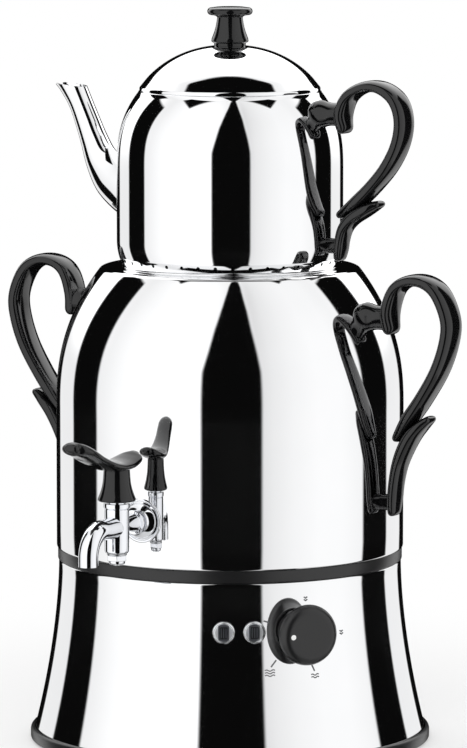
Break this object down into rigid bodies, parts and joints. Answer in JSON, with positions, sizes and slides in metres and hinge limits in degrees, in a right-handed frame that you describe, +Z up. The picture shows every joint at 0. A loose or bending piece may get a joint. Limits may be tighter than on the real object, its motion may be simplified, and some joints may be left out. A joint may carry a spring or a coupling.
{
  "type": "electric samovar",
  "caption": "Electric samovar: a heated base with a dial and lamps, an urn with a plug tap and scroll handles, and a lidded teapot that rests on a steam collar.",
  "frame": {"origin": "centre of the base's resting plane, on the samovar's upright axis", "axes": "+Z up, -Y towards the tap and the user, +X towards the teapot's handle, -X towards its spout"},
  "size_m": [0.3482, 0.345, 0.4998],
  "materials": {
    "polished_steel": "mirror-polished stainless steel sheet",
    "satin_steel": "satin stainless steel",
    "tap_chrome": "bright chrome plate over brass",
    "bakelite": "glossy black bakelite",
    "satin_black": "satin black heat-resistant plastic",
    "pad_rubber": "matte black rubber",
    "silicone": "off-white silicone rubber",
    "zinc_plate": "zinc-plated sheet steel",
    "brass_parts": "plain machined brass",
    "heat_aluminium": "die-cast aluminium",
    "element_steel": "heat-browned steel tube",
    "dark_phenolic": "dark phenolic moulding",
    "pale_ceramic": "off-white steatite terminal block",
    "clear_lens": "clear moulded lens"
  },
  "bodies": {
    "urn": {"foot_ring": "satin_black", "foot_pad": "pad_rubber", "bottom_plate": "zinc_plate", "tie_rods": "zinc_plate", "tie_nuts": "brass_parts", "base_skirt": "polished_steel", "joint_band": "satin_black", "urn_shell": "polished_steel", "urn_floor": "satin_steel", "heat_plate": "heat_aluminium", "heating_element": "element_steel", "element_clamps": "brass_parts", "thermal_cutout": "dark_phenolic", "terminal_block": "pale_ceramic", "thermostat": "dark_phenolic", "thermostat_nut": "brass_parts", "lamp_bodies": "satin_black", "lamp_lenses": "clear_lens", "cord_gland": "satin_black", "gland_nut": "satin_black", "tap_rosette": "tap_chrome", "tap_seal": "silicone", "tap_nut": "brass_parts", "tap_body": "tap_chrome", "urn_handle_right": "bakelite", "urn_handle_left": "bakelite", "handle_screws": "satin_steel", "handle_seals": "silicone"},
    "tap_key": {"tap_plug": "tap_chrome", "tap_washer": "satin_steel", "tap_cap_nut": "tap_chrome", "tap_lever": "bakelite"},
    "dial": {"thermostat_shaft": "satin_steel", "control_knob": "satin_black"},
    "collar": {"seat_collar": "polished_steel"},
    "teapot": {"teapot_body": "polished_steel", "teapot_floor": "satin_steel", "teapot_spout": "polished_steel", "teapot_handle": "bakelite", "teapot_screws": "satin_steel", "teapot_seals": "silicone"},
    "lid": {"lid_dome": "polished_steel", "lid_skirt": "satin_steel", "lid_knob": "bakelite", "lid_screw": "satin_steel"}
  },
  "joints": [
    {"name": "tap_turn", "type": "hinge", "parent": "urn", "child": "tap_key", "pos_m": [0, -0.1487, 0.1645], "axis": [0, 0, 1], "range_deg": [0, 90]},
    {"name": "dial_turn", "type": "hinge", "parent": "urn", "child": "dial", "pos_m": [0.0985, -0.07696, 0.092], "axis": [-0.788, 0.6157, 0], "range_deg": [0, 250]},
    {"name": "collar_lift", "type": "slide", "parent": "urn", "child": "collar", "axis": [0, 0, 1], "range_m": [0, 0.06]},
    {"name": "teapot_lift", "type": "slide", "parent": "collar", "child": "teapot", "axis": [0, 0, 1], "range_m": [0, 0.1]},
    {"name": "lid_lift", "type": "slide", "parent": "teapot", "child": "lid", "axis": [0, 0, 1], "range_m": [0, 0.08]}
  ]
}
